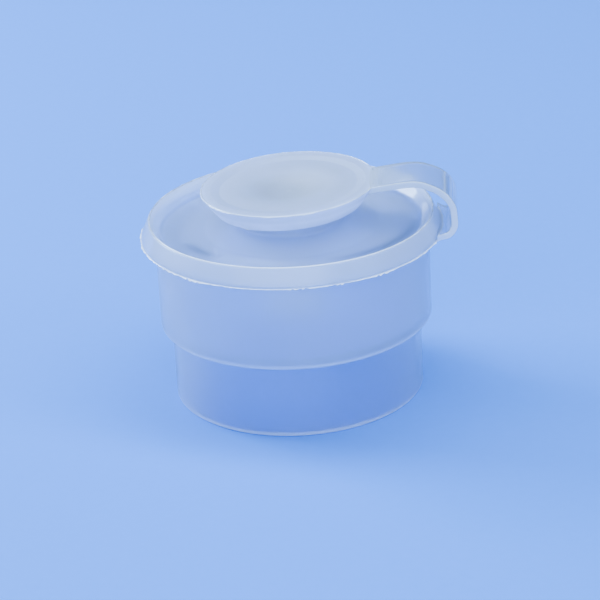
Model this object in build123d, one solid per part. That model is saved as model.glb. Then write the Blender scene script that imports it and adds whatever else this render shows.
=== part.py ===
"""Moulded pour closure: a stepped, hollow push-in body with a dished deck, a pour tube through it,
and a disc lid whose plug closes the tube. The lid hangs on a strap that bends back over the flange.

Millimetres, +Z up. The origin is the centre of the bottom rim, the strap is on the +X side, and the
lid is closed. The strap is cut into short links, each turning on the next about an axis along Y.
"""
import math
import os

from build123d import *

# Push-in body: a lower barrel, a step and a wider upper barrel
LOWER_RADIUS = 13.3
LOWER_WALL = 0.9
UPPER_RADIUS = 14.45
UPPER_WALL = 1.1
STEP_HEIGHT = 8.1
STEP_THICKNESS = 0.9

# Flange and lip round the top of the upper barrel
FLANGE_RADIUS = 16.0
FLANGE_BOTTOM = 17.7
FLANGE_EDGE = 0.25
LIP_BASE = 18.85
LIP_TOP = 19.7
LIP_RADIUS = 15.05
LIP_INNER_RADIUS = 14.2

# Dished deck: a level gutter inside the lip, then a gentle cone up to the pour collar
DECK_THICKNESS = 0.9
GUTTER_HEIGHT = 18.35
GUTTER_INNER_RADIUS = 9.2
GUTTER_OUTER_RADIUS = 13.55
GUTTER_FILLET = 0.8
DECK_EDGE_RADIUS = 13.0
CONE_HEIGHT = 19.1

# Pour collar, the cone that narrows under it, and the drop tube
COLLAR_RADIUS = 5.5
COLLAR_BORE = 4.5
COLLAR_TOP = 20.6
COLLAR_BOTTOM = 17.3
TUBE_RADIUS = 2.85
TUBE_BORE = 2.1
TUBE_TOP = 14.9
TUBE_BOTTOM = 9.0

# Lid, measured square to its own axis before it is tilted about the middle of its seal
LID_RADIUS = 9.18
LID_TOP = 22.9
LID_TILT = 2.4
LID_BAND = 1.15
LID_DISH_DEPTH = 0.25
LID_THICKNESS = 0.8
RECESS_RADIUS = 4.17
RECESS_FLOOR_RADIUS = 3.2
RECESS_DEPTH = 0.6
RECESS_FLOOR = 0.65
SKIRT_EDGE_RADIUS = 7.8
SKIRT_BOTTOM = 20.75
SKIRT_WALL = 0.85
PLUG_RADIUS = 4.25
PLUG_TIP_RADIUS = 3.6
PLUG_WALL = 0.8
PLUG_BOTTOM = 17.6
SEAL_HEIGHT = 20.1
SEAL_HALF = 0.4
SEAL_CLEARANCE = 0.05

# Strap: its hinge at the flange, its hinge at the top of the bend and the crest of its last stretch,
# as (x, z) along the middle of its thickness
STRAP_ROOT_HINGE = (16.9, 18.05)
STRAP_LID_HINGE = (16.3, 22.9)
STRAP_CREST = (12.7, 23.45)
STRAP_LID_END = (8.2, 22.79)
STRAP_ROOT_INSET = 14.9
STRAP_THICKNESS = 0.7
STRAP_ROOT_WIDTH = 8.0
STRAP_LINK_WIDTH = 7.0
STRAP_LID_WIDTH = 6.0
STRAP_HINGE_CLEARANCE = 0.05

# Small corner rounds
EDGE_ROUND = 0.25
STEP_ROUND = 0.35
TIP_ROUND = 0.3


def outline(points, rounds=None):
    """Closed face through the points; rounds gives a corner radius for a point's place in the list."""
    face = make_face(Polyline(*points, close=True))
    for place, radius in (rounds or {}).items():
        corner = face.vertices().sort_by_distance((*points[place], 0))[0]
        face = fillet(corner, radius)
    return face


def turned(points, rounds=None):
    """Solid turned about Z from a closed outline of (radius, height) points."""
    return revolve(Plane.XZ * outline(points, rounds), Axis.Z)


def lower_barrel():
    inner = LOWER_RADIUS - LOWER_WALL
    points = [(inner, 0), (LOWER_RADIUS, 0), (LOWER_RADIUS, STEP_HEIGHT), (inner, STEP_HEIGHT)]
    return turned(points, {0: EDGE_ROUND, 1: EDGE_ROUND})


def step_shoulder():
    lower_inner = LOWER_RADIUS - LOWER_WALL
    upper_inner = UPPER_RADIUS - UPPER_WALL
    top = STEP_HEIGHT + STEP_THICKNESS
    points = [
        (lower_inner, STEP_HEIGHT),
        (UPPER_RADIUS, STEP_HEIGHT),
        (UPPER_RADIUS, top),
        (upper_inner, top),
    ]
    return turned(points, {1: STEP_ROUND})


def upper_barrel():
    inner = UPPER_RADIUS - UPPER_WALL
    base = STEP_HEIGHT + STEP_THICKNESS
    top = GUTTER_HEIGHT - DECK_THICKNESS
    return turned([(inner, base), (UPPER_RADIUS, base), (UPPER_RADIUS, top), (inner, top)])


def bevel_radius(height):
    """Outer radius of the bevelled face that rises from the flange's edge to the lip."""
    start = FLANGE_BOTTOM + FLANGE_EDGE
    return FLANGE_RADIUS + (LIP_RADIUS - FLANGE_RADIUS) * (height - start) / (LIP_TOP - start)


def lip_inner_point(height):
    """Point of the lip's sloping inner wall at a height."""
    share = (height - GUTTER_HEIGHT) / (LIP_TOP - GUTTER_HEIGHT)
    return (GUTTER_OUTER_RADIUS + (LIP_INNER_RADIUS - GUTTER_OUTER_RADIUS) * share, height)


def flange_ring():
    underside = GUTTER_HEIGHT - DECK_THICKNESS
    points = [
        (DECK_EDGE_RADIUS, underside),
        (UPPER_RADIUS, underside),
        (UPPER_RADIUS, FLANGE_BOTTOM),
        (FLANGE_RADIUS, FLANGE_BOTTOM),
        (FLANGE_RADIUS, FLANGE_BOTTOM + FLANGE_EDGE),
        (bevel_radius(LIP_BASE + EDGE_ROUND), LIP_BASE + EDGE_ROUND),
        lip_inner_point(LIP_BASE + EDGE_ROUND),
        (GUTTER_OUTER_RADIUS, GUTTER_HEIGHT),
        (DECK_EDGE_RADIUS, GUTTER_HEIGHT),
    ]
    ring = outline(points, {7: GUTTER_FILLET})
    above = outline([(12, LIP_BASE), (17, LIP_BASE), (17, LIP_TOP + 1), (12, LIP_TOP + 1)])
    return revolve(Plane.XZ * (ring - above), Axis.Z)


def rim_lip():
    points = [
        lip_inner_point(LIP_BASE),
        (bevel_radius(LIP_BASE), LIP_BASE),
        (LIP_RADIUS, LIP_TOP),
        (LIP_INNER_RADIUS, LIP_TOP),
    ]
    return turned(points, {2: EDGE_ROUND, 3: TIP_ROUND})


def dished_deck():
    points = [
        (COLLAR_RADIUS, CONE_HEIGHT),
        (GUTTER_INNER_RADIUS, GUTTER_HEIGHT),
        (DECK_EDGE_RADIUS, GUTTER_HEIGHT),
        (DECK_EDGE_RADIUS, GUTTER_HEIGHT - DECK_THICKNESS),
        (GUTTER_INNER_RADIUS, GUTTER_HEIGHT - DECK_THICKNESS),
        (COLLAR_RADIUS, CONE_HEIGHT - DECK_THICKNESS),
    ]
    return turned(points)


def pour_collar():
    points = [
        (COLLAR_BORE, COLLAR_BOTTOM),
        (COLLAR_RADIUS, COLLAR_BOTTOM),
        (COLLAR_RADIUS, COLLAR_TOP),
        (COLLAR_BORE, COLLAR_TOP),
    ]
    return turned(points, {2: EDGE_ROUND, 3: TIP_ROUND})


def funnel_seat():
    points = [
        (COLLAR_BORE, COLLAR_BOTTOM),
        (COLLAR_RADIUS, COLLAR_BOTTOM),
        (TUBE_RADIUS, TUBE_TOP),
        (TUBE_BORE, TUBE_TOP),
    ]
    return turned(points)


def drop_tube():
    points = [(TUBE_BORE, TUBE_BOTTOM), (TUBE_RADIUS, TUBE_BOTTOM), (TUBE_RADIUS, TUBE_TOP), (TUBE_BORE, TUBE_TOP)]
    return turned(points, {0: EDGE_ROUND, 1: EDGE_ROUND})


def skirt_radius(height):
    """Outer radius of the lid's tapering side."""
    return SKIRT_EDGE_RADIUS + (LID_RADIUS - SKIRT_EDGE_RADIUS) * (height - SKIRT_BOTTOM) / (LID_TOP - SKIRT_BOTTOM)


def tilted(solid):
    """Lid part, tilted up on the strap's side about the middle of the seal."""
    seal = Pos(0, 0, SEAL_HEIGHT)
    return seal * Rot(0, -LID_TILT, 0) * seal.inverse() * solid


def lid_plate():
    dish = LID_TOP - LID_DISH_DEPTH
    recess = dish - RECESS_DEPTH
    underside = LID_TOP - LID_THICKNESS
    points = [
        (0, recess),
        (RECESS_FLOOR_RADIUS, recess),
        (RECESS_RADIUS, dish),
        (LID_RADIUS - LID_BAND - LID_DISH_DEPTH, dish),
        (LID_RADIUS - LID_BAND, LID_TOP),
        (LID_RADIUS, LID_TOP),
        (skirt_radius(underside), underside),
        (PLUG_RADIUS, underside),
        (PLUG_RADIUS, recess - RECESS_FLOOR),
        (0, recess - RECESS_FLOOR),
    ]
    return tilted(turned(points, {1: TIP_ROUND, 2: EDGE_ROUND}))


def lid_skirt():
    top = LID_TOP - LID_THICKNESS
    points = [
        (skirt_radius(top) - SKIRT_WALL, top),
        (skirt_radius(top), top),
        (SKIRT_EDGE_RADIUS, SKIRT_BOTTOM),
        (SKIRT_EDGE_RADIUS - SKIRT_WALL, SKIRT_BOTTOM),
    ]
    return tilted(turned(points, {2: EDGE_ROUND, 3: EDGE_ROUND}))


def lid_plug():
    top = LID_TOP - LID_DISH_DEPTH - RECESS_DEPTH - RECESS_FLOOR
    start = SEAL_HEIGHT - SEAL_HALF
    points = [
        (PLUG_RADIUS - PLUG_WALL, top),
        (PLUG_RADIUS, top),
        (PLUG_RADIUS, start),
        (PLUG_TIP_RADIUS, PLUG_BOTTOM),
        (PLUG_TIP_RADIUS - PLUG_WALL, PLUG_BOTTOM),
        (PLUG_RADIUS - PLUG_WALL, start),
    ]
    return tilted(turned(points, {3: TIP_ROUND, 4: EDGE_ROUND}))


def plug_seal_bead():
    """Rounded band that seals in the collar's bore."""
    face = make_face(
        [
            Line((PLUG_RADIUS, SEAL_HEIGHT - SEAL_HALF), (PLUG_RADIUS, SEAL_HEIGHT + SEAL_HALF)),
            ThreePointArc(
                (PLUG_RADIUS, SEAL_HEIGHT + SEAL_HALF),
                (COLLAR_BORE - SEAL_CLEARANCE, SEAL_HEIGHT),
                (PLUG_RADIUS, SEAL_HEIGHT - SEAL_HALF),
            ),
        ]
    )
    return tilted(revolve(Plane.XZ * face, Axis.Z))


def bar(start, end, grow=0.0):
    """Strap section between two points of its middle line; grow adds to each face."""
    length = math.dist(start, end)
    across = (-(end[1] - start[1]) / length, (end[0] - start[0]) / length)
    half = STRAP_THICKNESS / 2 + grow
    corners = [(start, half), (end, half), (end, -half), (start, -half)]
    return outline([(point[0] + across[0] * side, point[1] + across[1] * side) for point, side in corners])


def knuckle(centre):
    """Round end of a strap section, which turns in the socket of the one before it."""
    return Pos(*centre) * Circle(STRAP_THICKNESS / 2)


def socket(centre, onward):
    """Room at the end of a strap section for the next one's knuckle and its closed position."""
    return Pos(*centre) * Circle(STRAP_THICKNESS / 2 + STRAP_HINGE_CLEARANCE) + bar(
        centre, onward, STRAP_HINGE_CLEARANCE
    )


def strap_solid(section, width):
    return extrude(Plane.XZ * section, width / 2, both=True)


def strap_root_tab():
    start = (STRAP_ROOT_INSET, STRAP_ROOT_HINGE[1])
    section = bar(start, STRAP_ROOT_HINGE) - socket(STRAP_ROOT_HINGE, STRAP_LID_HINGE)
    return strap_solid(section, STRAP_ROOT_WIDTH) - flange_ring() - rim_lip()


def strap_link():
    section = bar(STRAP_ROOT_HINGE, STRAP_LID_HINGE) + knuckle(STRAP_ROOT_HINGE)
    return strap_solid(section - socket(STRAP_LID_HINGE, STRAP_CREST), STRAP_LINK_WIDTH)


def lid_strap_tab():
    rising = bar(STRAP_LID_HINGE, STRAP_CREST) + knuckle(STRAP_LID_HINGE)
    section = rising + knuckle(STRAP_CREST) + bar(STRAP_CREST, STRAP_LID_END)
    solid = strap_solid(section, STRAP_LID_WIDTH)
    body = tilted(Pos(0, 0, SKIRT_BOTTOM) * Cone(
        SKIRT_EDGE_RADIUS,
        LID_RADIUS,
        LID_TOP - SKIRT_BOTTOM,
        align=(Align.CENTER, Align.CENTER, Align.MIN),
    ))
    above = tilted(Pos(0, 0, LID_TOP) * Cylinder(LID_RADIUS, 2, align=(Align.CENTER, Align.CENTER, Align.MIN)))
    return solid - body - above


NODES = {
    "lower_barrel": lower_barrel,
    "step_shoulder": step_shoulder,
    "upper_barrel": upper_barrel,
    "flange_ring": flange_ring,
    "rim_lip": rim_lip,
    "dished_deck": dished_deck,
    "pour_collar": pour_collar,
    "funnel_seat": funnel_seat,
    "drop_tube": drop_tube,
    "strap_root_tab": strap_root_tab,
    "strap_link": strap_link,
    "lid_strap_tab": lid_strap_tab,
    "lid_plate": lid_plate,
    "lid_skirt": lid_skirt,
    "lid_plug": lid_plug,
    "plug_seal_bead": plug_seal_bead,
}

os.makedirs("parts", exist_ok=True)
for name, make in NODES.items():
    export_step(make(), f"parts/{name}.step")
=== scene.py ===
"""Looks of the pour closure: one milky polythene moulding of body, strap and lid, on a pale floor."""
import math
import random

import bpy
from mathutils import Matrix, Vector


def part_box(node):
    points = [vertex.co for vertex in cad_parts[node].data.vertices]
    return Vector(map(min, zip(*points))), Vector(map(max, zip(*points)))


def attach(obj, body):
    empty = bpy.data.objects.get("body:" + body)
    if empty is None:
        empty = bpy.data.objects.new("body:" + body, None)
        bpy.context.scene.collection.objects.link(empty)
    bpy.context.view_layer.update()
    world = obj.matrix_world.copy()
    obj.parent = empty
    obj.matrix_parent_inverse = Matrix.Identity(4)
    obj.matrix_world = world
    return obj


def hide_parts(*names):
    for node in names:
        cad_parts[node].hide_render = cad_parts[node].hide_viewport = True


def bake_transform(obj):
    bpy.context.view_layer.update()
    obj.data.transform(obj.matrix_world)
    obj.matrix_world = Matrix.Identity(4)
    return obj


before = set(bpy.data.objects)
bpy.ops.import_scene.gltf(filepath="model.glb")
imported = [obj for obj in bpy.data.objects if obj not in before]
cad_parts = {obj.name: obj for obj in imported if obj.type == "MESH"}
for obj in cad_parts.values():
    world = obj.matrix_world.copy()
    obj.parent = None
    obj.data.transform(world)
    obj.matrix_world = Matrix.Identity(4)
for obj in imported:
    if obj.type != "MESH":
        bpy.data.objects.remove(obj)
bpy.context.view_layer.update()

MM = 0.001


def low(node):
    """Lowest corner of a CAD node, in millimetres."""
    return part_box(node)[0] / MM


def high(node):
    """Highest corner of a CAD node, in millimetres."""
    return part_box(node)[1] / MM


# ---------------------------------------------------------------- outlines

def corner_arc(before, corner, after, radius, steps=6):
    """Points of the arc that rounds a corner, or the corner alone where it is sharp."""
    if radius <= 0:
        return [corner]
    spot = corner.to_2d()
    towards = (before.to_2d() - spot).normalized()
    onwards = (after.to_2d() - spot).normalized()
    half = towards.angle(onwards) / 2
    if half > math.radians(89):
        return [corner]
    reach = radius / math.tan(half)
    centre = spot + (towards + onwards).normalized() * (radius / math.sin(half))
    start = spot + towards * reach - centre
    sweep = start.angle_signed(spot + onwards * reach - centre)
    points = []
    for step in range(steps + 1):
        turned = Matrix.Rotation(-sweep * step / steps, 2) @ start
        points.append(Vector((*(centre + turned), corner.z)))
    return points


def rounded(corners, closed, longest=0.7):
    """Outline through (radius, height, rounding, milkiness) corners, with its long runs divided evenly.

    Each point is (radius, height, milkiness).
    """
    spots = [Vector((c[0], c[1], c[3])) for c in corners]
    count = len(corners)
    points = []
    for place, corner in enumerate(corners):
        if not closed and place in (0, count - 1):
            points.append(spots[place])
        else:
            points += corner_arc(spots[place - 1], spots[place], spots[(place + 1) % count], corner[2])
    divided = []
    ends = points[1:] + (points[:1] if closed else [])
    for start, end in zip(points, ends):
        pieces = max(1, math.ceil((end - start).to_2d().length / longest))
        divided += [start.lerp(end, piece / pieces) for piece in range(pieces)]
    if not closed:
        divided.append(points[-1])
    return divided


def mesh_piece(name, points, faces, material, milk=None, shade=None):
    """Smooth-shaded object from points in millimetres.

    milk is how white the plastic is at each point, and shade is painted shade, how light it is painted: 1
    is its own tone, 0 is dark.
    """
    mesh = bpy.data.meshes.new(name)
    mesh.from_pydata([Vector(p) * MM for p in points], [], faces)
    mesh.update()
    values = mesh.attributes.new("milk", "FLOAT", "POINT")
    values.data.foreach_set("value", milk or [1.0] * len(points))
    values = mesh.attributes.new("shade", "FLOAT", "POINT")
    values.data.foreach_set("value", shade or [1.0] * len(points))
    piece = bpy.data.objects.new(name, mesh)
    bpy.context.scene.collection.objects.link(piece)
    for polygon in mesh.polygons:
        polygon.use_smooth = True
    mesh.materials.append(material)
    return piece


def lathe(name, outline, closed, material, turns=256, shift=None, place=None, fade=None):
    """Outline turned about Z.

    shift(angle, radius, height) moves a point by (dr, dz), and fade gives its (milkiness factor, painted
    shade).
    """
    points, faces, milk, shade = [], [], [], []
    rings = []
    for spot in outline:
        if spot.x < 1e-6:
            rings.append([len(points)] * turns)
            points.append((0, 0, spot.y))
            milk.append(spot.z)
            shade.append(1.0)
            continue
        ring = []
        for turn in range(turns):
            angle = math.tau * turn / turns
            dr, dz = shift(angle, spot.x, spot.y) if shift else (0, 0)
            radius = spot.x + dr
            cloudy, dark = fade(angle, spot.x, spot.y) if fade else (1, 1)
            milk.append(spot.z * cloudy)
            shade.append(dark)
            ring.append(len(points))
            points.append((radius * math.cos(angle), radius * math.sin(angle), spot.y + dz))
        rings.append(ring)
    for ring, beside in zip(rings, rings[1:] + (rings[:1] if closed else [])):
        for turn in range(turns):
            after = (turn + 1) % turns
            corners = [ring[turn], ring[after], beside[after], beside[turn]]
            face = list(dict.fromkeys(corners))
            if len(face) > 2:
                faces.append(face)
    if place:
        points = [place @ Vector(p) for p in points]
    return mesh_piece(name, points, faces, material, milk, shade)


# Stretches round an edge over which the flash swells and thins
COARSE_TEARS = 61


def flash_fin(name, radius, height, reach, depth, seed, steps=460, place=None, strength=None):
    """Ragged fin of moulding flash round an edge, torn to an uneven border."""
    rough = random.Random(seed)
    coarse = [rough.random() for _ in range(COARSE_TEARS)]
    points, faces = [], []
    for step in range(steps):
        angle = math.tau * (step + 0.6 * (rough.random() - 0.5)) / steps
        spread = step / steps * COARSE_TEARS
        index = int(spread)
        here = coarse[index % COARSE_TEARS]
        beyond = coarse[(index + 1) % COARSE_TEARS]
        slow = here + (beyond - here) * (spread - index)
        force = slow * (strength(angle) if strength else 1)
        torn = 0.12 + force * (0.35 + 0.65 * rough.random())
        out = radius + reach * torn
        lift = depth * force * (rough.random() - 0.45)
        middle = radius + 0.4 * (out - radius)
        section = [
            (radius - 0.06, height + 0.07),
            (middle, height + 0.06 + 0.4 * lift),
            (out, height + 0.03 + lift),
            (out, height + lift),
            (middle, height - 0.01 + 0.4 * lift),
            (radius - 0.06, height),
        ]
        for r, z in section:
            points.append((r * math.cos(angle), r * math.sin(angle), z))
    sides = len(section)
    for step in range(steps):
        first = step * sides
        after = (step + 1) % steps * sides
        for side in range(sides):
            beside = (side + 1) % sides
            faces.append([first + side, after + side, after + beside, first + beside])
    if place:
        points = [place @ Vector(p) for p in points]
    return mesh_piece(name, points, faces, FLASH)


# ---------------------------------------------------------------- materials

def node(tree, kind, place, **inputs):
    """New shader node; inputs are set by name, with underscores for spaces."""
    made = tree.nodes.new(kind)
    made.location = place
    for key, value in inputs.items():
        made.inputs[key.replace("_", " ")].default_value = value
    return made


POLYTHENE_IOR = 1.45
# Share of red, green and blue left where painted shade makes the plastic dark
PAINTED_SHADE_SHARES = (0.20, 0.25, 0.33)


def polythene(name, tint, roughness, grain, ripple, coat, gloss, glow=0.5, coords=None):
    """Milky low-density polyethylene: frosted see-through plastic with light scattered inside it.

    grain and ripple are the fine and wide unevenness of the surface, gloss the roughness of its skin, glow
    the share of the white plastic's light that comes through it, and coords an attribute to lay it out by.
    """
    material = bpy.data.materials.new(name)
    material.use_nodes = True
    tree = material.node_tree
    tree.nodes.clear()
    link = tree.links.new
    if coords:
        spot = node(tree, "ShaderNodeAttribute", (-1400, 0))
        spot.attribute_name = coords
        where = spot.outputs["Vector"]
    else:
        spot = node(tree, "ShaderNodeTexCoord", (-1400, 0))
        where = spot.outputs["Object"]
    cloud = node(tree, "ShaderNodeTexNoise", (-1150, 200), Scale=180.0, Detail=3.0, Roughness=0.6)
    fine = node(tree, "ShaderNodeTexNoise", (-1150, -200), Scale=2600.0, Detail=4.0, Roughness=0.6)
    wave = node(tree, "ShaderNodeTexNoise", (-1150, -500), Scale=330.0, Detail=2.0, Roughness=0.5)
    for texture in (cloud, fine, wave):
        link(where, texture.inputs["Vector"])

    thick = node(tree, "ShaderNodeAttribute", (-1150, 500))
    thick.attribute_name = "milk"
    uneven = node(tree, "ShaderNodeMapRange", (-900, 200))
    uneven.inputs["To Min"].default_value = 0.8
    uneven.inputs["To Max"].default_value = 1.2
    link(cloud.outputs["Fac"], uneven.inputs["Value"])
    milky = node(tree, "ShaderNodeMath", (-700, 300))
    milky.operation = "MULTIPLY"
    milky.use_clamp = True
    link(uneven.outputs["Result"], milky.inputs[0])
    link(thick.outputs["Fac"], milky.inputs[1])

    rough = node(tree, "ShaderNodeMapRange", (-900, -100))
    rough.inputs["To Min"].default_value = roughness * 0.88
    rough.inputs["To Max"].default_value = roughness * 1.12
    link(fine.outputs["Fac"], rough.inputs["Value"])

    near = node(tree, "ShaderNodeBump", (-650, -300), Strength=grain, Distance=0.00004)
    link(fine.outputs["Fac"], near.inputs["Height"])
    far = node(tree, "ShaderNodeBump", (-450, -400), Strength=ripple, Distance=0.0003)
    link(wave.outputs["Fac"], far.inputs["Height"])
    link(near.outputs["Normal"], far.inputs["Normal"])

    tone = node(tree, "ShaderNodeMix", (-850, 450))
    tone.data_type = "RGBA"
    tone.inputs[6].default_value = (*[channel * 0.96 for channel in tint], 1)
    tone.inputs[7].default_value = (*tint, 1)
    link(cloud.outputs["Fac"], tone.inputs[0])
    # The shade attribute mixes the tone towards a dark blue: painted shade
    dark = node(tree, "ShaderNodeAttribute", (-850, 700))
    dark.attribute_name = "shade"
    colour = node(tree, "ShaderNodeMix", (-650, 450))
    colour.data_type = "RGBA"
    colour.inputs[6].default_value = (*[channel * share for channel, share in zip(tint, PAINTED_SHADE_SHARES)], 1)
    link(dark.outputs["Fac"], colour.inputs[0])
    link(tone.outputs[2], colour.inputs[7])

    clear = node(tree, "ShaderNodeBsdfPrincipled", (-200, 200))
    clear.inputs["Transmission Weight"].default_value = 1.0
    white = node(tree, "ShaderNodeBsdfPrincipled", (-200, -250))
    for shader in (clear, white):
        shader.inputs["IOR"].default_value = POLYTHENE_IOR
        shader.inputs["Coat Weight"].default_value = coat
        shader.inputs["Coat Roughness"].default_value = gloss
        link(colour.outputs[2], shader.inputs["Base Color"])
        link(rough.outputs["Result"], shader.inputs["Roughness"])
        link(far.outputs["Normal"], shader.inputs["Normal"])

    through = node(tree, "ShaderNodeBsdfTranslucent", (-200, -650))
    link(colour.outputs[2], through.inputs["Color"])
    link(far.outputs["Normal"], through.inputs["Normal"])

    scatter = node(tree, "ShaderNodeMixShader", (100, -350), Fac=glow)
    link(white.outputs[0], scatter.inputs[1])
    link(through.outputs[0], scatter.inputs[2])
    surface = node(tree, "ShaderNodeMixShader", (350, 0))
    link(milky.outputs["Value"], surface.inputs[0])
    link(clear.outputs[0], surface.inputs[1])
    link(scatter.outputs[0], surface.inputs[2])
    output = node(tree, "ShaderNodeOutputMaterial", (600, 0))
    link(surface.outputs[0], output.inputs["Surface"])
    return material


BODY = polythene("body_polythene", (0.70, 0.81, 1.0), 0.37, 0.02, 0.05, coat=1.0, gloss=0.10)
LID = polythene("lid_polythene", (0.68, 0.77, 1.0), 0.5, 0.2, 0.04, coat=0.2, gloss=0.4)
STRAP = polythene(
    "strap_polythene", (0.80, 0.88, 1.0), 0.12, 0.02, 0.30, coat=1.0, gloss=0.06, glow=0.2, coords="flow"
)
FLASH = polythene("flash_polythene", (0.86, 0.90, 1.0), 0.25, 0.02, 0.1, coat=1.0, gloss=0.06, glow=0.0)


# ---------------------------------------------------------------- body

LOWER_WALL = 0.9
UPPER_WALL = 1.1
DECK_THICKNESS = 0.9
COLLAR_WALL = 1.0
TUBE_WALL = 0.75
FLASH_REACH = 0.17
GUTTER_HEIGHT = low("dished_deck").z + DECK_THICKNESS
UPPER_OUTSIDE = high("upper_barrel").x
# Radii across the top: the lip's outer corner, crest and inner corner, the gutter, and the foot of the cone
LIP_OUTSIDE = 15.08
LIP_CREST = 14.86
LIP_INSIDE = 14.45
GUTTER_OUTSIDE = 13.7
GUTTER_INSIDE = 12.6
CONE_FOOT = 9.2
LIP_BEAD_RADIUS = 14.88
# Painted light in the front wall, a pale patch where the tube shows through: its angle and half width in
# degrees, its depth and half height
PATCH_ANGLE = 274
PATCH_HALF_WIDTH = 13
PATCH_DEPTH = 2.0
PATCH_HALF_HEIGHT = 2.6
# Streaks of painted shade in the deck, where the clear gutter shows the dark hollow below, as (first angle,
# last angle, first radius, last radius)
DECK_SHADE_STREAKS = ((292, 362, 11.0, 13.3), (202, 232, 11.6, 11.1))


def flange_bottom():
    """Height of the flange's underside: the strap's root lies on the same level."""
    return low("strap_root_tab").z


def body_outline():
    """Section of the body, from the bottom rim up the outside, over the deck, through the tube and back."""
    lower = high("lower_barrel")
    upper = high("upper_barrel")
    flange, flange_low = high("flange_ring"), flange_bottom()
    collar_low, collar = low("pour_collar"), high("pour_collar")
    tube_low, tube = low("drop_tube"), high("drop_tube")
    deck_low, deck = low("dished_deck"), high("dished_deck")
    lip_top = high("rim_lip").z
    flange_r = flange.x - FLASH_REACH
    lower_in = lower.x - LOWER_WALL
    upper_in = upper.x - UPPER_WALL
    shoulder = high("step_shoulder").z
    collar_bore = collar.x - COLLAR_WALL
    tube_bore = tube.x - TUBE_WALL
    # The milkiness peaks at the bottom rim, the step's edge and the lip's crest: whiter thick plastic at
    # these corners, and partly a painted highlight along them
    return rounded(
        [
            (lower_in, 0, 0.3, 0.30),
            (lower.x, 0, 0.3, 1.0),
            (lower.x, 0.55, 0, 0.14),
            (lower.x, lower.z, 0.12, 0.12),
            (upper.x, lower.z, 0.3, 1.0),
            (upper.x, lower.z + 0.6, 0, 0.38),
            (upper.x, flange_low, 0.12, 0.42),
            (flange_r, flange_low, 0.1, 0.6),
            (flange_r, flange_low + 0.3, 0.25, 0.55),
            (LIP_OUTSIDE, lip_top - 0.06, 0.1, 0.55),
            (LIP_CREST, lip_top, 0.12, 0.9),
            (LIP_INSIDE, lip_top - 0.32, 0.4, 0.35),
            (GUTTER_OUTSIDE, GUTTER_HEIGHT, 0.8, 0.14),
            (GUTTER_INSIDE, GUTTER_HEIGHT, 0, 0.22),
            (CONE_FOOT, GUTTER_HEIGHT, 2.5, 0.36),
            (collar.x, deck.z, 0.35, 0.3),
            (collar.x, collar.z, 0.25, 0.45),
            (collar_bore, collar.z, 0.3, 0.45),
            (collar_bore, collar_low.z, 0.5, 0.3),
            (tube_bore, tube.z, 0.6, 0.5),
            (tube_bore, tube_low.z, 0.25, 0.6),
            (tube.x, tube_low.z, 0.4, 0.8),
            (tube.x, tube.z, 0.8, 0.8),
            (collar.x, collar_low.z, 0.5, 0.5),
            (collar.x, deck.z - DECK_THICKNESS, 0.4, 0.3),
            (CONE_FOOT, deck_low.z, 2.0, 0.14),
            (upper_in, deck_low.z, 0.5, 0.16),
            (upper_in, shoulder, 0.4, 0.20),
            (lower_in, lower.z, 0.4, 0.10),
            (lower_in, 0.7, 0, 0.08),
        ],
        closed=True,
        longest=0.45,
    )


def body_unevenness(angle, radius, height):
    """Thin walls pull in a little as they cool."""
    slow = math.sin(2 * angle + 0.6) + 0.6 * math.sin(3 * angle + height * 0.15)
    quick = math.sin(7 * angle + 0.5 * height) * math.sin(5 * angle - 0.3 * radius)
    return 0.02 * slow - 0.05 + 0.012 * quick, 0.012 * math.sin(4 * angle + radius) * min(1, height)


def body_milk_and_painted_light(angle, radius, height):
    """Milkiness factor and painted shade: a painted pale patch in front where the tube shows through, and
    painted shade on the whiter deck in a ring round the gutter and in streaks.
    """
    wavy = 1 + 0.12 * math.sin(3 * angle + 0.4)
    # Painted light: a whiter patch standing in for the tube seen through the front wall
    if radius > UPPER_OUTSIDE - 0.05 and 9.0 < height < GUTTER_HEIGHT - 1.5:
        across = (math.degrees(angle) - PATCH_ANGLE) / PATCH_HALF_WIDTH
        down = (height - GUTTER_HEIGHT + PATCH_DEPTH) / PATCH_HALF_HEIGHT
        return wavy + 0.55 * math.exp(-across**4 - down**4), 1
    if height <= GUTTER_HEIGHT - 0.05:
        return wavy, 1
    wavy *= 1.5
    if not 10.0 < radius < 14.4:
        return wavy, 1
    # Painted shade: the ring round the gutter is clearer and a little darker, and the streaks darker still,
    # where the clear plastic shows the dark hollow below
    ring = math.exp(-((radius - 12.3) / 0.9) ** 2)
    streak_shade = 0.0
    for start, end, first, final in DECK_SHADE_STREAKS:
        at = (math.degrees(angle) - start) % 360 / ((end - start) % 360)
        if at < 1:
            centre = first + (final - first) * at
            taper = math.sin(math.pi * at) ** 0.6
            streak_shade = max(streak_shade, taper * math.exp(-((radius - centre) / 0.65) ** 2))
    return wavy * (1 - 0.2 * ring) + 0.5 * streak_shade, 1 - 0.08 * ring - 0.8 * streak_shade


def front_heavy(angle):
    """The flange's flash is heaviest towards the front."""
    return 0.8 + 0.5 * max(0.0, -math.sin(angle)) ** 2


def front_painted_highlight(angle, radius, height):
    """Milkiness and shade of the fine line on an edge, a painted highlight: whitest at the front, broken up
    elsewhere.
    """
    front = max(0.0, -math.sin(angle)) ** 0.7
    broken = 0.35 + 0.35 * math.sin(31 * angle) * math.sin(17 * angle + 1)
    return max(front, broken), 1


def bead_ring(name, radius, height, size, place=None):
    """Fine raised line that the mould's joint leaves round an edge, whitened as a painted highlight that is
    brightest at the front.
    """
    outline = [
        Vector((radius + size * math.cos(math.tau * n / 8), height + size * math.sin(math.tau * n / 8), 1))
        for n in range(8)
    ]
    return lathe(name, outline, True, FLASH, place=place, fade=front_painted_highlight)


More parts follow.
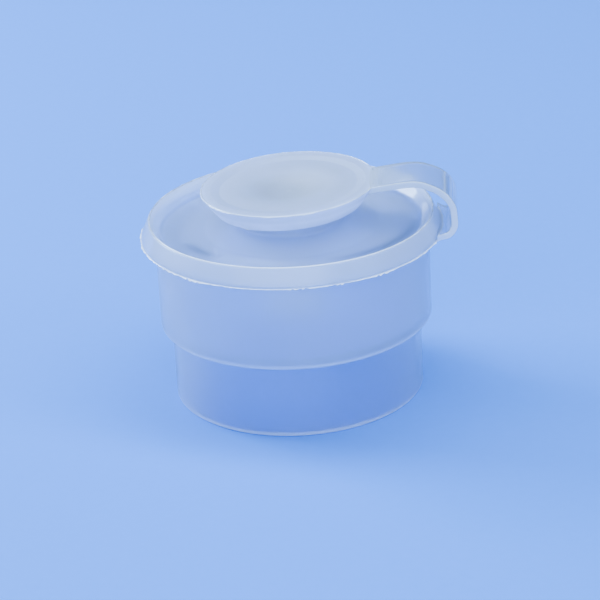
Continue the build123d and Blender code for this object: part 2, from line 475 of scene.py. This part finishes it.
def build_body():
    body = lathe("closure_body", body_outline(), True, BODY, shift=body_unevenness, fade=body_milk_and_painted_light)
    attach(body, "closure")
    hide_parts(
        "lower_barrel", "step_shoulder", "upper_barrel", "flange_ring", "rim_lip", "dished_deck",
        "pour_collar", "funnel_seat", "drop_tube",
    )
    bead = bead_ring("lip_highlight_bead", LIP_BEAD_RADIUS, high("rim_lip").z - 0.03, 0.10)
    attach(bead, "closure")
    edge = high("flange_ring").x - FLASH_REACH
    fin = flash_fin(
        "flange_flash", edge, flange_bottom() + 0.02, FLASH_REACH + 0.05, 0.36, seed=5, strength=front_heavy
    )
    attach(fin, "closure")


# ---------------------------------------------------------------- lid

LID_TILT = math.radians(2.4)
LID_BAND = 1.15
LID_DISH = 0.25
LID_THICKNESS = 0.8
RECESS_RADIUS = 4.17
RECESS_DEPTH = 0.6
SKIRT_WALL = 0.85
SKIRT_EDGE = 7.8
PLUG_WALL = 0.8
PLUG_TIP = 3.6
PLUG_ROOF = 0.65


def lid_place():
    """Turn about the middle of the seal from upright to the lid's tilted rest, and the seal's height."""
    seal = (low("plug_seal_bead").z + high("plug_seal_bead").z) / 2
    pivot = Matrix.Translation((0, 0, seal))
    return pivot @ Matrix.Rotation(-LID_TILT, 4, "Y") @ pivot.inverted(), seal


def lid_height(z, radius, seal):
    """Height along the lid's own axis of its highest or lowest point, from the tilted box."""
    return seal + (z - seal - radius * math.sin(LID_TILT)) / math.cos(LID_TILT)


def build_lid():
    place, seal = lid_place()
    disc = high("lid_plate").y
    top = lid_height(high("lid_plate").z, disc, seal)
    skirt_bottom = lid_height(low("lid_skirt").z, -(SKIRT_EDGE - 0.2), seal)
    plug = high("lid_plug").y
    plug_bottom = lid_height(low("lid_plug").z, -(PLUG_TIP - 0.2), seal)
    bead = high("plug_seal_bead").y
    dish = top - LID_DISH
    floor = dish - RECESS_DEPTH
    under = top - LID_THICKNESS
    outline = rounded(
        [
            (0, floor, 0, 0.25),
            (1.4, floor, 12.0, 0.30),
            (RECESS_RADIUS + 0.9, dish, 12.0, 0.50),
            (disc - LID_BAND - 0.8, dish + 0.04, 1.2, 0.55),
            (disc - LID_BAND + 0.1, top - 0.03, 1.0, 0.60),
            (disc - 0.02, top, 0.05, 0.75),
            (disc - 0.03, top - 0.16, 0.08, 0.95),
            (disc - 0.70, (top + skirt_bottom) / 2 - 0.10, 3.0, 1.0),
            (SKIRT_EDGE, skirt_bottom, 0.3, 0.9),
            (SKIRT_EDGE - SKIRT_WALL, skirt_bottom, 0.28, 0.5),
            (disc - 0.62 - SKIRT_WALL, under, 0.5, 0.4),
            (plug, under, 0.5, 0.4),
            (plug, seal + 0.5, 0.2, 0.5),
            (bead, seal + 0.12, 0.15, 0.5),
            (bead, seal - 0.12, 0.15, 0.5),
            (plug, seal - 0.5, 0.2, 0.5),
            (PLUG_TIP, plug_bottom, 0.25, 0.5),
            (PLUG_TIP - PLUG_WALL, plug_bottom, 0.25, 0.5),
            (plug - PLUG_WALL, seal - 0.5, 0.5, 0.5),
            (plug - PLUG_WALL, floor - PLUG_ROOF, 0.4, 0.4),
            (0, floor - PLUG_ROOF, 0, 0.1),
        ],
        closed=False,
        longest=0.5,
    )

    def shade(angle, radius, height):
        """Painted shade: the top face is darker than the skirt, and the recess, thin and standing over the
        hollow plug, is darker towards its middle.
        """
        middle = 0.26 * max(0.0, 1 - (radius / (RECESS_RADIUS + 0.4)) ** 1.6)
        painted_top_shade = 0.16 if height > floor - 0.1 and radius < disc - 0.2 else 0.0
        return 1, 1 - middle - painted_top_shade

    lid = lathe("lid_disc", outline, False, LID, turns=224, place=place, fade=shade)
    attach(lid, "lid")
    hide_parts("lid_plate", "lid_skirt", "lid_plug", "plug_seal_bead")
    fin = flash_fin("lid_flash", disc - 0.04, top - 0.07, 0.16, 0.16, seed=11, steps=300, place=place)
    bead = bead_ring("lid_highlight_bead", disc - 0.06, top - 0.02, 0.07, place=place)
    for piece in (fin, bead):
        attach(piece, "lid")


# ---------------------------------------------------------------- strap

STRAP_THICKNESS = 0.7
STRAP_ROOT_WIDTH = 8.0
STRAP_LID_WIDTH = 5.9
STRAP_CORNER = 0.12
STRAP_CLEAR = 0.12
# The root widens into the flange, where it starts; the other end tucks under the lid's edge
STRAP_ROOT = 15.3
STRAP_ROOT_FLARE = 1.6
STRAP_TUCK = 0.45
# Rings for each knot of length, points across each face and parts of each rounded corner
STRAP_STEPS = 15
STRAP_ACROSS = 16
STRAP_TURNS = 4
# Points that the strap passes through, as (x, z) along the middle of its thickness
STRAP_LINE = (
    (16.42, 18.05), (17.08, 18.85), (17.10, 19.95), (16.95, 21.00),
    (16.20, 22.10), (14.90, 22.95), (12.70, 23.45),
)
# Each half: its two bodies, where it starts, where its bend and the half end, and the CAD it stands for.
# Places on the strap are counted in knots of its line, from 0 in the flange to 8 in the lid.
STRAP_HALVES = (
    ("closure", "strap_section", 0, 3.0, 3, ("strap_root_tab", "strap_link")),
    ("strap_section", "lid", 3, 7.4, 8, ("lid_strap_tab",)),
)
CREASES = (3.45, 3.8, 4.1, 4.6, 5.2)


def strap_knots():
    """Points of the strap's middle line: its root in the flange, the line, and its end in the lid."""
    line = [Vector((x, 0, z)) for x, z in STRAP_LINE]
    tab = low("lid_strap_tab")
    end = Vector((tab.x - STRAP_TUCK, 0, tab.z + STRAP_THICKNESS / 2))
    return [Vector((STRAP_ROOT, 0, line[0].z))] + line + [end]


def curve_point(knots, at):
    """Point and direction of the smooth line through the knots, at a place counted in knots."""
    index = min(int(at), len(knots) - 2)
    t = at - index
    b, c = knots[index], knots[index + 1]
    a = knots[index - 1] if index > 0 else b * 2 - c
    d = knots[index + 2] if index + 2 < len(knots) else c * 2 - b
    leave = (c - a) * 0.5
    arrive = (d - b) * 0.5
    if index == 0:
        leave = Vector((1, 0, 0)) * (c - b).length
    point = (
        b * (2 * t**3 - 3 * t**2 + 1) + leave * (t**3 - 2 * t**2 + t)
        + c * (3 * t**2 - 2 * t**3) + arrive * (t**3 - t**2)
    )
    heading = (
        b * (6 * t**2 - 6 * t) + leave * (3 * t**2 - 4 * t + 1)
        + c * (6 * t - 6 * t**2) + arrive * (3 * t**2 - 2 * t)
    )
    return point, heading.normalized()


def strap_whitening(at, last):
    """The strap is clear, with fine whitened creases across its bend, and thickens to white at the lid."""
    crease = sum(math.exp(-((at - place) / 0.07) ** 2) for place in CREASES)
    ends = math.exp(-((last - at) / 0.35) ** 2)
    return min(1.0, STRAP_CLEAR + 0.45 * crease + 0.5 * ends)


def strap_section(knots, at):
    """Ring of points round the strap at a place on it, and their milkiness: its edges are whiter."""
    point, heading = curve_point(knots, at)
    share = at / (len(knots) - 1)
    outward = Vector((0, 1, 0)).cross(heading) * -1
    width = STRAP_ROOT_WIDTH + (STRAP_LID_WIDTH - STRAP_ROOT_WIDTH) * min(1, share * 1.15)
    width += STRAP_ROOT_FLARE * max(0.0, 1 - at / 0.9) ** 2
    half = width / 2
    thick = STRAP_THICKNESS / 2
    whitened = strap_whitening(at, len(knots) - 1)
    ring, milk = [], []
    for side_y, side_n, first in ((1, 1, 0), (-1, 1, 90), (-1, -1, 180), (1, -1, 270)):
        centre_y = side_y * (half - STRAP_CORNER)
        centre_n = side_n * (thick - STRAP_CORNER)
        for step in range(STRAP_TURNS + 1):
            angle = math.radians(first + 90 / STRAP_TURNS * step)
            y = centre_y + STRAP_CORNER * math.cos(angle)
            n = centre_n + STRAP_CORNER * math.sin(angle)
            ring.append(point + Vector((0, y, 0)) + outward * n)
            milk.append(max(whitened, STRAP_CLEAR + 0.88 * abs(math.cos(angle))))
        if side_y == side_n:
            for step in range(1, STRAP_ACROSS):
                y = centre_y * (1 - 2 * step / STRAP_ACROSS)
                ring.append(point + Vector((0, y, 0)) + outward * (side_n * thick))
                milk.append(whitened)
    return ring, milk


def build_strap():
    """The strap as two halves that meet in its upright stretch, each bending over one hinge."""
    knots = strap_knots()
    last = len(knots) - 1
    for before, after, start, bend_end, end, stands_for in STRAP_HALVES:
        count = round((end - start) * STRAP_STEPS)
        sections = [strap_section(knots, start + (end - start) * n / count) for n in range(count + 1)]
        rings = [ring for ring, milk in sections]
        size = len(rings[0])
        points = [p for ring in rings for p in ring]
        flows = []
        for n, ring in enumerate(rings):
            at = start + (end - start) * n / count
            middle = curve_point(knots, at)[0]
            flows += [(at * 3.5, p.y * 0.3, (p - middle).length * 0.2) for p in ring]
        faces = []
        for first in range(0, count * size, size):
            for spot in range(size):
                beside = (spot + 1) % size
                faces.append([first + spot, first + beside, first + size + beside, first + size + spot])
        if start == 0:
            faces.append(list(range(size)))
        if end == last:
            faces.append(list(reversed(range(count * size, count * size + size))))
        milk = [value for ring, values in sections for value in values]
        piece = mesh_piece(f"strap_to_{after}", points, faces, STRAP, milk)
        flow = piece.data.attributes.new("flow", "FLOAT_VECTOR", "POINT")
        flow.data.foreach_set("vector", [c * MM for way in flows for c in way])
        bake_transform(piece)
        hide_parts(*stands_for)


# ---------------------------------------------------------------- stage

def paint_floor():
    material = bpy.data.materials.new("floor_paper")
    material.use_nodes = True
    tree = material.node_tree
    shader = tree.nodes["Principled BSDF"]
    grain = node(tree, "ShaderNodeTexNoise", (-600, 0), Scale=900.0, Detail=3.0)
    spot = node(tree, "ShaderNodeTexCoord", (-800, 0))
    tone = node(tree, "ShaderNodeMix", (-300, 0))
    tone.data_type = "RGBA"
    tone.inputs[6].default_value = (0.035, 0.22, 0.74, 1)
    tone.inputs[7].default_value = (0.04, 0.235, 0.77, 1)
    tree.links.new(spot.outputs["Object"], grain.inputs["Vector"])
    tree.links.new(grain.outputs["Fac"], tone.inputs[0])
    tree.links.new(tone.outputs[2], shader.inputs["Base Color"])
    shader.inputs["Roughness"].default_value = 0.75
    shader.inputs["Specular IOR Level"].default_value = 0.2
    return material


FLOOR_HALF = 1.5
LIGHT_TINT = (0.46, 0.67, 1.0)
LIT_POINT = (0, 0, 0.012)


def lamp(name, place, size, power):
    data = bpy.data.lights.new(name, "AREA")
    data.shape = "RECTANGLE"
    data.size, data.size_y = size
    data.energy = power
    data.color = LIGHT_TINT
    light = bpy.data.objects.new(name, data)
    bpy.context.scene.collection.objects.link(light)
    light.location = place
    light.rotation_euler = (Vector(LIT_POINT) - Vector(place)).to_track_quat("-Z", "Y").to_euler()


def build_stage():
    size = FLOOR_HALF
    mesh = bpy.data.meshes.new("floor")
    corners = [(-size, -size, 0), (size, -size, 0), (size, size, 0), (-size, size, 0)]
    mesh.from_pydata(corners, [], [(0, 1, 2, 3)])
    floor = bpy.data.objects.new("floor", mesh)
    bpy.context.scene.collection.objects.link(floor)
    mesh.materials.append(paint_floor())

    world = bpy.data.worlds.new("studio")
    bpy.context.scene.world = world
    world.use_nodes = True
    tree = world.node_tree
    back = tree.nodes["Background"]
    spot = node(tree, "ShaderNodeTexCoord", (-900, 0))
    split = node(tree, "ShaderNodeSeparateXYZ", (-700, 0))
    sky = node(tree, "ShaderNodeValToRGB", (-500, 0))
    sky.color_ramp.elements[0].position = 0.0
    sky.color_ramp.elements[0].color = (0.12, 0.30, 0.70, 1)
    sky.color_ramp.elements[1].position = 0.75
    sky.color_ramp.elements[1].color = (0.50, 0.72, 1.0, 1)
    tree.links.new(spot.outputs["Generated"], split.inputs[0])
    tree.links.new(split.outputs["Z"], sky.inputs[0])
    tree.links.new(sky.outputs[0], back.inputs["Color"])
    back.inputs["Strength"].default_value = 0.6

    lamp("key", (-0.33, 0.155, 0.18), (0.22, 0.20), 4.6)
    lamp("top", (0.02, 0.06, 0.42), (0.80, 0.12), 5.8)
    lamp("right_box", (0.30, -0.10, 0.22), (0.12, 0.12), 0.8)
    lamp("front_box", (-0.06, -0.42, 0.22), (0.60, 0.30), 3.3)


CAMERA_DISTANCE = 0.2806
CAMERA_HEADING = math.radians(4)
CAMERA_RISE = math.radians(25.71)
CAMERA_ROLL = math.radians(3.2)
CAMERA_LENS = 156
CAMERA_AIM = (0.00046, 0, 0.00953)


def build_camera():
    data = bpy.data.cameras.new("camera")
    data.lens = CAMERA_LENS
    data.sensor_width = 36
    data.clip_start = 0.01
    camera = bpy.data.objects.new("camera", data)
    bpy.context.scene.collection.objects.link(camera)
    turn = Matrix.Rotation(CAMERA_HEADING, 4, "Z")
    place = turn @ (Vector((0, -math.cos(CAMERA_RISE), math.sin(CAMERA_RISE))) * CAMERA_DISTANCE)
    aim = turn @ Vector(CAMERA_AIM)
    facing = (aim - place).to_track_quat("-Z", "Y").to_matrix().to_4x4()
    camera.matrix_world = Matrix.Translation(place) @ facing @ Matrix.Rotation(-CAMERA_ROLL, 4, "Z")
    bpy.context.scene.camera = camera


build_body()
build_lid()
build_strap()
build_stage()
build_camera()
